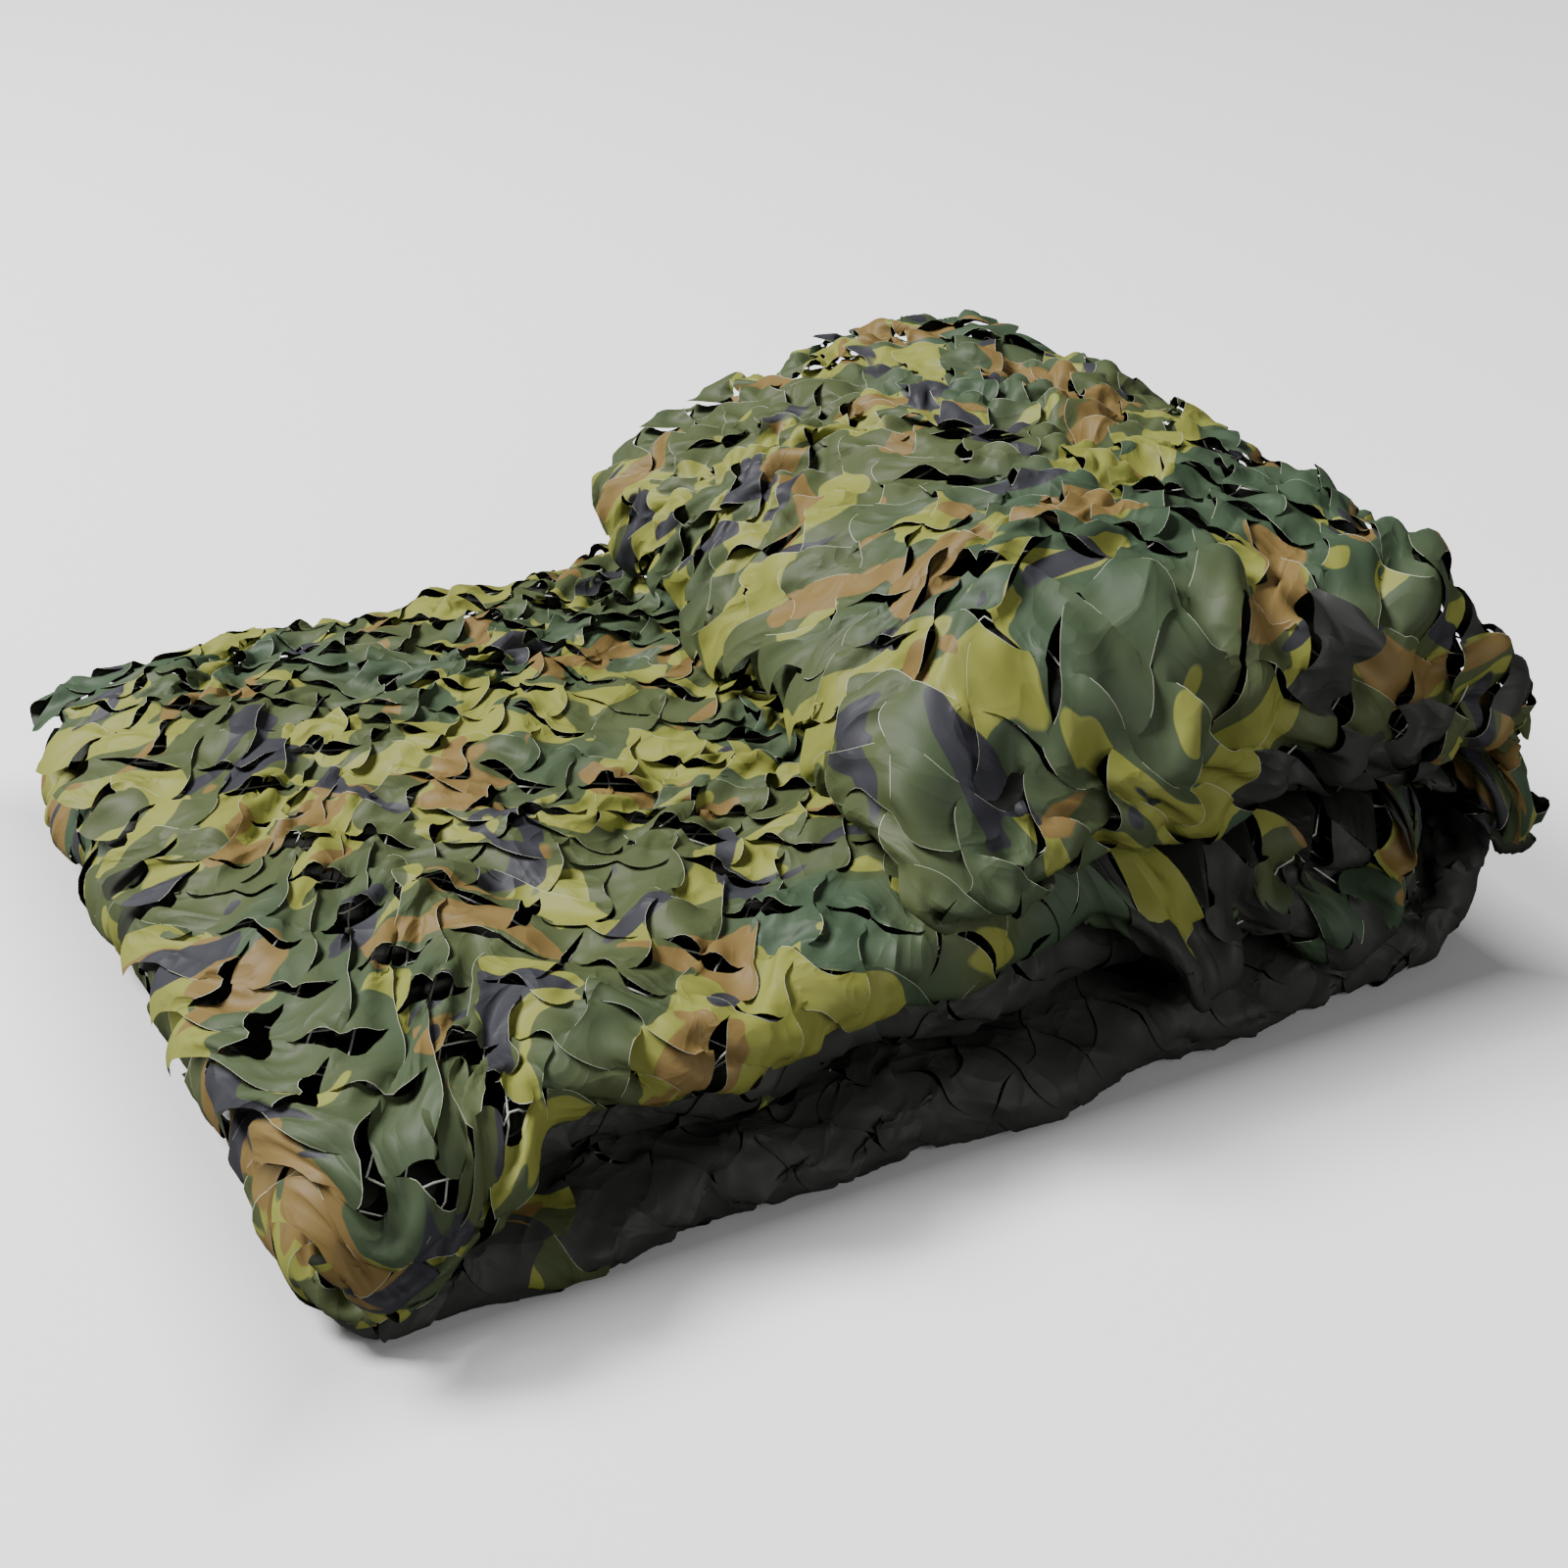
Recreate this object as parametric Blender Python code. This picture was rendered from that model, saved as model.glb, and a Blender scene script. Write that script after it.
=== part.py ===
"""A folded camouflage net: one length of leaf-cut cloth on a string net. It is folded in three
across its width, then back and forth into three long layers, and then all three are folded over
at their right end onto the right half. Both loose ends hang down over the folds beside them.

Metres, +Z up. X runs along the bundle, Y from its front edge to its back edge. The net rests on
z = 0, and the origin is the middle of the bundle's footprint.
"""

import math
from collections import namedtuple

import bmesh
import bpy
from mathutils import Vector

# Driving dimensions
LENGTH = 0.66  # the whole bundle, left face to right face
WIDTH = 0.536  # a third of the net's cut width
LAYER = 0.036  # one layer: its three plies with the loft of their leaves
GAP = 0.004  # the air between two layers
BENT_LAYER = 0.022  # a layer where it is pulled tight round an end
PITCH = LAYER + GAP
BENT_PITCH = BENT_LAYER + GAP
NARROW_TURN = PITCH / 2  # between two layers that lie on each other
EDGE_ROUND = 0.019  # how deep the fold along a front or back edge is rounded

# The ends, measured from the left face
LEFT_END = 1.5 * BENT_LAYER + GAP + NARROW_TURN
RIGHT_END = LENGTH - NARROW_TURN - 2 * BENT_PITCH - BENT_LAYER / 2
WIDE_SQUARENESS = 3.1  # of the two wide turns at the right end, where 2 is an ellipse
LEFT_FOLD_DEPTH = NARROW_TURN + 0.012  # the slab's left fold, squashed out a little
LEFT_FOLD_TOP = 0.050  # how far down the slab's own loose end reaches, on that fold

# The left side of the folded-over part
TOP_FOLD = 0.392  # where its two inner layers turn
SQUEEZE = 0.100  # over which they thin towards that turn
ROUND_START = 0.462  # where the outermost layer begins to curve down over them
ROUND_WIDTH = 0.130
ROUND_TURN = math.radians(112)  # past a right angle, so its loose end tucks back in
TIP_RISE = 0.015  # of a loose end's tip, above what it hangs down to
SKEW = 0.062  # how much further right this side lies at the back than at the front

# How the bundle has settled. The lofts and drops are shares of the height.
LEFT_LOFT = 0.87  # at the left end
TOP_LOFT = 1.06  # at the folded-over part's left side
RIGHT_DROP = 0.045
BACK_RIGHT_DROP = 0.125
BACK_LEFT_DROP = 0.14
EDGE_DROP = 0.07  # along the front and back edges
BACK_LEFT_IN = 0.012
FRONT_LEFT_FORWARD = 0.030  # the folds are pushed out at this corner
FRONT_LEFT_OUT = 0.014

# The hollow that the folded-over part presses into the slab's back half
HOLLOW_MIDDLE = 0.39
HOLLOW_LENGTH = 0.13
HOLLOW_DEPTH = 0.15
BACK_FORWARD = 0.024  # how far forward the back edge lies past the hollow

# The lip of the outermost layer, which hangs in front of the folded-over part
LIP_LINE = 0.066  # the lip bends down in front of this line
LIP_RADIUS = 0.046
LIP_TURN = math.radians(80)
LIP_FADE = 0.085  # the lip fades out over this height round the layer's two ends
LIP_REACH = 0.048  # how much further forward the front edge lies there, to hang down

# Mesh steps
SHOWN_STEP = 0.026  # along a layer that shows
HIDDEN_STEP = 0.090  # along a layer that doesn't
NARROW_STEPS = 6
WIDE_STEPS = 10
ROUND_STEPS = 7
ACROSS_STEP = 0.030  # between the points of a layer's flat part, front to back
ROUNDING_STEPS = 3  # of an edge's rounding

# The relief of the leaves on the faces that show
RUFFLE = 0.0032
RUFFLE_LONG = 0.118
RUFFLE_ACROSS = 0.094
EDGE_WAVE = 0.005

# Edges: how far a layer's front and back edges lie in from the bundle's outline, and the phase
# of the waves in them
Edges = namedtuple("Edges", "front_in back_in phase")
Layer = namedtuple("Layer", "floor edges")
FLOOR_LAYER = Layer(0, Edges(0.000, 0.014, 0.0))
SECOND_LAYER = Layer(1, Edges(0.030, 0.006, 1.7))
SLAB_TOP_LAYER = Layer(2, Edges(0.006, 0.012, 3.1))
FOLDED_OVER_LAYER = Layer(3, Edges(0.078, 0.018, 4.4))
FIFTH_LAYER = Layer(4, Edges(0.102, 0.008, 5.3))
OUTERMOST_LAYER = Layer(5, Edges(0.006, 0.014, 0.9))
TURN_INSET = 0.014  # how much further in the edges lie at the crown of a turn

# A place along the section: the middle of the layer there, half its thickness, and which face
# shows: 1 for the cloth's left-hand face, -1 for its right-hand one, 0 for neither
Station = namedtuple("Station", "x z half edges shown")


def height(floor):
    """The height of the middle of a layer, counted from 0 at the floor."""
    return LAYER / 2 + PITCH * floor


def smooth(share):
    share = max(0, min(1, share))
    return share * share * (3 - 2 * share)


def straight(start, end, layer, shown=0):
    """The stations along one level layer."""
    step = SHOWN_STEP if shown else HIDDEN_STEP
    count = max(2, round(abs(end - start) / step))
    z = height(layer.floor)
    return [
        Station(start + (end - start) * i / count, z, LAYER / 2, layer.edges, shown)
        for i in range(count + 1)
    ]


def squeezed(start, end, layer):
    """The stations along an inner layer of the folded-over part, which thins at TOP_FOLD."""
    count = round(abs(end - start) / (SQUEEZE / 3))
    above = layer.floor - FOLDED_OVER_LAYER.floor
    floor = height(SLAB_TOP_LAYER.floor) + LAYER / 2 + GAP
    stations = []
    for i in range(count + 1):
        x = start + (end - start) * i / count
        thick = BENT_LAYER + (LAYER - BENT_LAYER) * smooth((x - TOP_FOLD) / SQUEEZE)
        z = floor + thick / 2 + above * (thick + GAP)
        stations.append(Station(x, z, thick / 2, layer.edges, 0))
    return stations


def turn(before, after, outwards, depth, squareness, steps, shown=0):
    """The half round end between the last station of a layer and the first of the next."""
    middle = (before.z + after.z) / 2
    rise = (before.z - after.z) / 2
    power = 2 / squareness
    stations = []
    for i in range(1, steps):
        share = i / steps
        out = math.sin(math.pi * share) ** power
        up = math.cos(math.pi * share)
        up = math.copysign(abs(up) ** power, up)
        half = before.half + (BENT_LAYER / 2 - before.half) * out
        inset = (TURN_INSET * out, TURN_INSET * out, 0)
        edges = (
            a + (b - a) * share + more
            for a, b, more in zip(before.edges, after.edges, inset)
        )
        x = before.x + outwards * depth * out
        stations.append(Station(x, middle + rise * up, half, Edges(*edges), shown))
    return stations


def loose_end(start, width, ground, turned, layer, shown):
    """A loose end that curves down over the fold beside it, from its top to its tip."""
    top = height(layer.floor)
    drop = (top - ground - TIP_RISE) / (1 - math.cos(turned))
    stations = []
    for i in range(1, ROUND_STEPS + 1):
        angle = turned * i / ROUND_STEPS
        thick = LAYER + (BENT_LAYER - LAYER) * math.sin(min(angle, math.pi / 2))
        x = start - width * math.sin(angle)
        z = top - drop * (1 - math.cos(angle))
        stations.append(Station(x, z, thick / 2, layer.edges, shown))
    return stations


def section():
    """The net's whole back-and-forth section, from the upper loose end to the lower one."""
    slab_top = height(SLAB_TOP_LAYER.floor) + LAYER / 2
    upper_end = loose_end(
        ROUND_START, ROUND_WIDTH, slab_top, ROUND_TURN, OUTERMOST_LAYER, 1
    )
    middle_turn = NARROW_TURN + BENT_PITCH
    lower_end = loose_end(
        LEFT_END, middle_turn, LEFT_FOLD_TOP, math.pi / 2, SLAB_TOP_LAYER, -1
    )
    runs = (
        straight(ROUND_START, RIGHT_END, OUTERMOST_LAYER, 1),
        straight(RIGHT_END, LEFT_END, FLOOR_LAYER),
        straight(LEFT_END, RIGHT_END, SECOND_LAYER),
        squeezed(RIGHT_END, TOP_FOLD, FIFTH_LAYER),
        squeezed(TOP_FOLD, RIGHT_END, FOLDED_OVER_LAYER),
        straight(RIGHT_END, TOP_FOLD, SLAB_TOP_LAYER)[:-1]
        + straight(TOP_FOLD, LEFT_END, SLAB_TOP_LAYER, -1),
    )
    outer_turn = middle_turn + BENT_PITCH
    turns = (
        (1, outer_turn, WIDE_SQUARENESS, WIDE_STEPS, 1),
        (-1, LEFT_FOLD_DEPTH, 2, NARROW_STEPS),
        (1, middle_turn, WIDE_SQUARENESS, WIDE_STEPS),
        (-1, BENT_PITCH / 2, 2, NARROW_STEPS),
        (1, NARROW_TURN, 2, NARROW_STEPS),
    )
    path = upper_end[::-1]
    for run, bend, following in zip(runs, turns, runs[1:]):
        path += run + turn(run[-1], following[0], *bend)
    return path + runs[-1] + lower_end


def across(depth):
    """(distance from the front edge, share of the thickness) for each point across a layer."""
    rounded = []
    for i in range(ROUNDING_STEPS + 1):
        angle = math.pi / 2 * i / ROUNDING_STEPS
        rounded.append((EDGE_ROUND * (1 - math.cos(angle)), math.sin(angle)))
    count = round((WIDTH - 2 * EDGE_ROUND) / ACROSS_STEP)
    flat = [
        (EDGE_ROUND + (depth - 2 * EDGE_ROUND) * i / count, 1) for i in range(1, count)
    ]
    far = [(depth - distance, share) for distance, share in rounded[::-1]]
    return rounded + flat + far


def ruffle(along, y):
    """How far the leaves on a shown face stand up or lie down, at most RUFFLE either way."""
    long_wave = 2 * math.pi * along / RUFFLE_LONG
    cross_wave = 2 * math.pi * y / RUFFLE_ACROSS
    bent = math.sin(long_wave + 1.3 * math.sin(0.5 * cross_wave))
    return RUFFLE * bent * math.cos(cross_wave + 0.8 * math.sin(0.7 * long_wave))


def hanging(z):
    """The lip's share at a height of a layer's middle: 1 at the top, 0 from LIP_FADE down."""
    below = height(OUTERMOST_LAYER.floor) - z
    return 1 - math.sqrt(max(0, min(1, below / LIP_FADE)))


def lip(y, z, offset):
    """Bends the outermost layer down in front of LIP_LINE, keeping its length: (y, z).

    z is the height of the layer's middle and offset is how far the point lies above it.
    """
    most = LIP_TURN * hanging(z)
    over = LIP_LINE - y
    if over <= 0 or most <= 0:
        return y, z + offset
    turned = min(over / LIP_RADIUS, most)
    rest = over - turned * LIP_RADIUS
    thin = 1 - (1 - BENT_LAYER / LAYER) * turned / LIP_TURN
    bent_y = LIP_LINE - LIP_RADIUS * math.sin(turned) - rest * math.cos(turned)
    fall = LIP_RADIUS * (1 - math.cos(turned)) + rest * math.sin(turned)
    out = offset * thin
    return bent_y - out * math.sin(turned), z - fall + out * math.cos(turned)


def skew(x, y, z):
    """How far right a station of the folded-over part moves, so that its left side turns."""
    if z < height(SLAB_TOP_LAYER.floor) + LAYER / 2:
        return 0
    share = min(1, (RIGHT_END - x) / (RIGHT_END - TOP_FOLD))
    return SKEW * (y / WIDTH - 0.35) * max(0, share)


def settled(x, y, z):
    """Bends the whole space a little, as a loosely folded net lies: no two layers can meet."""
    up = z / (height(OUTERMOST_LAYER.floor) + LAYER / 2)
    right, back = max(0, x / LENGTH), max(0, y / WIDTH)
    left, front = max(0, 1 - x / LENGTH), max(0, 1 - y / WIDTH)
    front_left = left**2 * front**2 * (1 - up)
    back_left = left**2 * back**2
    hollow = math.exp(-(((x - HOLLOW_MIDDLE) / HOLLOW_LENGTH) ** 2)) * back**2
    loft = LEFT_LOFT + (TOP_LOFT - LEFT_LOFT) * min(1, x / TOP_FOLD)
    loft -= RIGHT_DROP * right**3 + BACK_RIGHT_DROP * right**3 * back**2
    loft -= BACK_LEFT_DROP * back_left + HOLLOW_DEPTH * hollow
    loft *= 1 - EDGE_DROP * abs(2 * y / WIDTH - 1) ** 3
    hump = 0.030 * math.sin(7.5 * x + 5.0 * y) + 0.022 * math.sin(19 * x - 11 * y + 1.3)
    sideways = 0.007 * math.sin(9.0 * y + 6 * up) + 0.008 * up * math.sin(6.3 * y + 0.6)
    forward = 0.006 * math.sin(12 * x + 5 * up) + 0.003 * math.sin(31 * x - 5 * up)
    x += sideways + 0.024 * (0.35 - up) * right**4
    x += BACK_LEFT_IN * back_left - FRONT_LEFT_OUT * front_left
    y += forward - FRONT_LEFT_FORWARD * front_left
    y -= BACK_LEFT_IN * back_left + BACK_FORWARD * smooth(right / 0.6) * back**3
    return x, y, z * loft * (1 + hump)


def ring_points(station, before, after, along):
    """One layer's rounded outline at a station: its left-hand face, then its right-hand one."""
    edges = station.edges
    run = Vector((after.x - before.x, after.z - before.z)).normalized()
    wave = EDGE_WAVE * math.sin(2 * math.pi * along / RUFFLE_LONG + edges.phase)
    front = edges.front_in + wave - LIP_REACH * hanging(station.z)
    points = across(WIDTH - edges.back_in + wave - front)
    ring = []
    for side in (1, -1):
        for distance, share in points if side == 1 else points[-2:0:-1]:
            y = front + distance
            relief = ruffle(along, y) if side == station.shown else 0
            offset = side * share * (station.half + relief)
            x = station.x - run.y * offset + skew(station.x, y, station.z)
            ring.append(settled(x, *lip(y, station.z, run.x * offset)))
    return ring


def folded_net():
    """The folded net's solid: a layer's rounded outline, lofted along the section."""
    path = section()
    mesh = bpy.data.meshes.new("folded_net")
    shape = bmesh.new()
    lofted = []
    along = 0
    for i, station in enumerate(path):
        before = path[max(i - 1, 0)]
        after = path[min(i + 1, len(path) - 1)]
        along += math.dist(station[:2], before[:2])
        points = ring_points(station, before, after, along)
        lofted.append([shape.verts.new(point) for point in points])
    count = len(lofted[0])
    for near, far in zip(lofted, lofted[1:]):
        for j in range(count):
            shape.faces.new((near[j], near[j - 1], far[j - 1], far[j]))
    for ring in (lofted[0], lofted[-1]):
        for j in range(count // 2):
            corners = (ring[j], ring[j + 1], ring[-j - 1], ring[-j % count])
            shape.faces.new(dict.fromkeys(corners))
    bmesh.ops.recalc_face_normals(shape, faces=shape.faces)
    shape.to_mesh(mesh)
    shape.free()
    return mesh


def cloth_material():
    material = bpy.data.materials.new("leaf_cloth")
    material.use_nodes = True
    shader = material.node_tree.nodes["Principled BSDF"]
    shader.inputs["Base Color"].default_value = (0.085, 0.105, 0.055, 1)
    shader.inputs["Roughness"].default_value = 0.62
    shader.inputs["Metallic"].default_value = 0
    return material


def stand_at_origin(mesh):
    """Moves the mesh so that its footprint's middle is the origin and it stands on z = 0."""
    corners = [vertex.co for vertex in mesh.vertices]
    low = Vector(min(corner[axis] for corner in corners) for axis in range(3))
    high = Vector(max(corner[axis] for corner in corners) for axis in range(3))
    middle = (low + high) / 2
    for vertex in mesh.vertices:
        vertex.co -= Vector((middle.x, middle.y, low.z))


def main():
    for obj in list(bpy.data.objects):
        bpy.data.objects.remove(obj, do_unlink=True)
    collection = bpy.data.collections.new("camouflage_net")
    bpy.context.scene.collection.children.link(collection)
    mesh = folded_net()
    stand_at_origin(mesh)
    mesh.materials.append(cloth_material())
    mesh.shade_smooth()
    net = bpy.data.objects.new("folded_net", mesh)
    collection.objects.link(net)


main()
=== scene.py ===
"""The looks of the folded camouflage net: leaf-cut printed cloth on a string net."""
import math
from collections import namedtuple

import bpy
import numpy as np
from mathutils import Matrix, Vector
from mathutils.kdtree import KDTree


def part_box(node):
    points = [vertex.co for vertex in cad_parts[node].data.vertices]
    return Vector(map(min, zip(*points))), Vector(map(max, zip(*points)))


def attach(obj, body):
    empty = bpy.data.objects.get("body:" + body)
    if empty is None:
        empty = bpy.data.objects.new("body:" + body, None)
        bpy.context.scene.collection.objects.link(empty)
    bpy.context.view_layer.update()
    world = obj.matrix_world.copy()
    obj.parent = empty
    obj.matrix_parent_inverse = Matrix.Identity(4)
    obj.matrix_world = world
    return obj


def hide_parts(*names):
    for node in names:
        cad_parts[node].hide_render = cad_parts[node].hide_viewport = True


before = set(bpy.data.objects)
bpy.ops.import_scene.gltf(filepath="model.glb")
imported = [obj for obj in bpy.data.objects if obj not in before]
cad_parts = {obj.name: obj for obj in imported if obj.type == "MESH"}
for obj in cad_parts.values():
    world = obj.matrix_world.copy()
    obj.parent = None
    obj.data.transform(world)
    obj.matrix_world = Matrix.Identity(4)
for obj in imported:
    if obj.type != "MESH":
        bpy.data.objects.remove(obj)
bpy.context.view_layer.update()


# ----------------------------------------------------------------------
# The way the net is folded. It lies in three long layers, one on the other, and all three are
# folded over at their right end onto the right half. Each layer is three plies: the net's width
# comes forward over the top, back along the underside, and forward again in between.

LENGTH = 0.66  # the whole bundle, left face to right face
WIDTH = 0.536
LAYER = 0.036  # one layer: its three plies with the loft of their leaves
GAP = 0.004  # the air between two layers
BENT_LAYER = 0.022  # a layer where it is pulled tight round an end
PITCH = LAYER + GAP
BENT_PITCH = BENT_LAYER + GAP
NARROW_TURN = PITCH / 2
EDGE_ROUND = 0.019  # how deep the fold along a front or back edge is rounded

LEFT_END = 1.5 * BENT_LAYER + GAP + NARROW_TURN
RIGHT_END = LENGTH - NARROW_TURN - 2 * BENT_PITCH - BENT_LAYER / 2
WIDE_SQUARENESS = 3.1  # of the two wide turns at the right end, where 2 is an ellipse
LEFT_FOLD_DEPTH = NARROW_TURN + 0.012
LEFT_FOLD_TOP = 0.050  # how far down the slab's own loose end reaches, on the left fold

# The left side of the folded-over part
TOP_FOLD = 0.392  # where its two inner layers turn
SQUEEZE = 0.100  # over which they thin towards that turn
ROUND_START = 0.462  # where the outermost layer begins to curve down over them
ROUND_WIDTH = 0.130
ROUND_TURN = math.radians(112)
TIP_RISE = 0.015  # of a loose end's tip, above what it hangs down to
SKEW = 0.062  # how much further right this side lies at the back than at the front
SKEW_STILL = 0.35  # where it stays in place, as a share of the depth from the front

# How the bundle has settled. The lofts and drops are shares of the height.
LEFT_LOFT = 0.87
TOP_LOFT = 1.06
RIGHT_DROP = 0.045
RIGHT_LEAN = 0.024  # how far the right end leans inwards, over the bundle's height
BACK_RIGHT_DROP = 0.125
BACK_LEFT_DROP = 0.14
EDGE_DROP = 0.07  # along the front and back edges
BACK_LEFT_IN = 0.012
FRONT_LEFT_FORWARD = 0.030
FRONT_LEFT_OUT = 0.014
HOLLOW_MIDDLE = 0.39  # of the hollow that the folded-over part presses into the slab's back half
HOLLOW_LENGTH = 0.13
HOLLOW_DEPTH = 0.15
BACK_FORWARD = 0.024  # how far forward the back edge lies past the hollow

# The lip of the outermost layer, which hangs in front of the folded-over part: it bends down in
# front of its line, and its front edge lies further forward by its reach, to hang down
LIP_LINE = 0.066
LIP_RADIUS = 0.046
LIP_TURN = math.radians(80)
LIP_FADE = 0.085
LIP_REACH = 0.048

# The front rim of the slab's top layer hangs down in the same way under the folded-over part,
# and at the slab's left corner, where it nearly reaches the floor
RIM_LINE = 0.026
RIM_RADIUS = 0.016
RIM_TURN = math.radians(75)
RIM_FADE = 0.06
RIM_REACH = 0.036
CORNER_LINE = 0.012
CORNER_TURN = math.radians(88)
CORNER_REACH = 0.074
CORNER_START, CORNER_RISE = 0.004, 0.045  # along the bundle, from the left face
CORNER_END, CORNER_FADE = 0.125, 0.085
CORNER_FOOT = 0.020  # the height where none of it hangs any more

# The folded-over part's front left corner sinks and slumps forward onto the slab
TUCK = 0.34  # of its height above the slab
TUCK_FORWARD = 0.012
TUCK_END, TUCK_END_FADE = 0.50, 0.12  # along the bundle
TUCK_BACK, TUCK_BACK_FADE = 0.10, 0.11  # from the front edge
TUCK_UP_FADE = 0.02

RUFFLE = 0.0032  # the height of the waves in the layers' faces
RUFFLE_LONG, RUFFLE_ACROSS = 0.118, 0.094  # from wave to wave
EDGE_WAVE = 0.005  # how far a front or back edge waves in and out
FLOOR_CLEAR = 0.0006  # between the cloth and the floor

# How far a layer's front and back edges lie in, and the phase of the waves in them
Edges = namedtuple("Edges", "front_in back_in phase")
Layer = namedtuple("Layer", "floor edges")
FLOOR_LAYER = Layer(0, Edges(0.000, 0.014, 0.0))
SECOND_LAYER = Layer(1, Edges(0.030, 0.006, 1.7))
SLAB_TOP_LAYER = Layer(2, Edges(0.006, 0.012, 3.1))
FOLDED_OVER_LAYER = Layer(3, Edges(0.078, 0.018, 4.4))
FIFTH_LAYER = Layer(4, Edges(0.102, 0.008, 5.3))
OUTERMOST_LAYER = Layer(5, Edges(0.006, 0.014, 0.9))
TURN_INSET = 0.014  # how much further in the edges lie at the crown of a turn

# shown: 1 where the face on the run's left shows, -1 for the one on its right, 0 for neither
Station = namedtuple("Station", "x z half edges shown")


def height(floor):
    """The height of the middle of a layer, counted from 0 at the floor."""
    return LAYER / 2 + PITCH * floor


def smooth(share):
    """A step from 0 to 1 without corners."""
    share = np.clip(share, 0, 1)
    return share * share * (3 - 2 * share)


def straight(start, end, layer, shown=0):
    """A flat run of a layer."""
    count = max(2, round(abs(end - start) / 0.026))
    z = height(layer.floor)
    return [
        Station(start + (end - start) * i / count, z, LAYER / 2, layer.edges, shown)
        for i in range(count + 1)
    ]


def squeezed(start, end, layer):
    """A run of the folded-over part's inner layers, which thin towards their turn."""
    count = round(abs(end - start) / (SQUEEZE / 3))
    above = layer.floor - FOLDED_OVER_LAYER.floor
    floor = height(SLAB_TOP_LAYER.floor) + LAYER / 2 + GAP
    stations = []
    for i in range(count + 1):
        x = start + (end - start) * i / count
        thick = BENT_LAYER + (LAYER - BENT_LAYER) * smooth((x - TOP_FOLD) / SQUEEZE)
        z = floor + thick / 2 + above * (thick + GAP)
        stations.append(Station(x, z, thick / 2, layer.edges, 0))
    return stations


def turn(before, after, outwards, depth, squareness, shown=0, steps=12):
    """A turn at an end of the bundle, from one run to the next."""
    middle = (before.z + after.z) / 2
    rise = (before.z - after.z) / 2
    power = 2 / squareness
    stations = []
    for i in range(1, steps):
        share = i / steps
        out = math.sin(math.pi * share) ** power
        up = math.cos(math.pi * share)
        up = math.copysign(abs(up) ** power, up)
        half = before.half + (BENT_LAYER / 2 - before.half) * out
        inset = (TURN_INSET * out, TURN_INSET * out, 0)
        edges = (a + (b - a) * share + more for a, b, more in zip(before.edges, after.edges, inset))
        x = before.x + outwards * depth * out
        stations.append(Station(x, middle + rise * up, half, Edges(*edges), shown))
    return stations


def loose_end(start, width, ground, turned, layer, shown, steps=10):
    """A loose end of a layer, which curves down to what lies under it."""
    top = height(layer.floor)
    drop = (top - ground - TIP_RISE) / (1 - math.cos(turned))
    stations = []
    for i in range(1, steps + 1):
        angle = turned * i / steps
        thick = LAYER + (BENT_LAYER - LAYER) * math.sin(min(angle, math.pi / 2))
        x = start - width * math.sin(angle)
        z = top - drop * (1 - math.cos(angle))
        stations.append(Station(x, z, thick / 2, layer.edges, shown))
    return stations


def section():
    """The stations of the whole back-and-forth section, from the upper loose end to the lower."""
    slab_top = height(SLAB_TOP_LAYER.floor) + LAYER / 2
    upper_end = loose_end(ROUND_START, ROUND_WIDTH, slab_top, ROUND_TURN, OUTERMOST_LAYER, 1)
    middle_turn = NARROW_TURN + BENT_PITCH
    lower_end = loose_end(LEFT_END, middle_turn, LEFT_FOLD_TOP, math.pi / 2, SLAB_TOP_LAYER, -1)
    runs = (
        straight(ROUND_START, RIGHT_END, OUTERMOST_LAYER, 1),
        straight(RIGHT_END, LEFT_END, FLOOR_LAYER),
        straight(LEFT_END, RIGHT_END, SECOND_LAYER),
        squeezed(RIGHT_END, TOP_FOLD, FIFTH_LAYER),
        squeezed(TOP_FOLD, RIGHT_END, FOLDED_OVER_LAYER),
        straight(RIGHT_END, TOP_FOLD, SLAB_TOP_LAYER)[:-1]
        + straight(TOP_FOLD, LEFT_END, SLAB_TOP_LAYER, -1),
    )
    outer_turn = middle_turn + BENT_PITCH
    turns = (
        (1, outer_turn, WIDE_SQUARENESS, 1),
        (-1, LEFT_FOLD_DEPTH, 2, 1),
        (1, middle_turn, WIDE_SQUARENESS),
        (-1, BENT_PITCH / 2, 2, -1),
        (1, NARROW_TURN, 2),
    )
    path = upper_end[::-1]
    for run, bend, following in zip(runs, turns, runs[1:]):
        path += run + turn(run[-1], following[0], *bend)
    return path + runs[-1] + lower_end


course_rows = np.array([(p.x, p.z, p.half, *p.edges, p.shown) for p in section()])
course_steps = np.hypot(*np.diff(course_rows[:, :2], axis=0).T)
course_along = np.concatenate([[0], np.cumsum(course_steps)])
NET_LENGTH = course_along[-1]
course_slope = np.gradient(course_rows, course_along, axis=0)


def course(along):
    """The section's columns at a distance along it, on a smooth curve, and its direction."""
    along = np.clip(along, 0, NET_LENGTH)
    i = np.clip(np.searchsorted(course_along, along) - 1, 0, len(course_steps) - 1)
    step = course_steps[i][:, None]
    share = ((along - course_along[i])[:, None]) / step
    near, far = course_rows[i], course_rows[i + 1]
    near_slope, far_slope = course_slope[i] * step, course_slope[i + 1] * step
    curved = (
        near * (1 + 2 * share) * (1 - share) ** 2
        + near_slope * share * (1 - share) ** 2
        + far * share**2 * (3 - 2 * share)
        + far_slope * share**2 * (share - 1)
    )
    direction = near_slope * (1 - share) + far_slope * share
    direction = direction[:, :2] / np.linalg.norm(direction[:, :2], axis=1)[:, None]
    even = near + (far - near) * share
    return np.concatenate([curved[:, :2], even[:, 2:], direction], axis=1)


ARC_POINTS = 13


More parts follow.
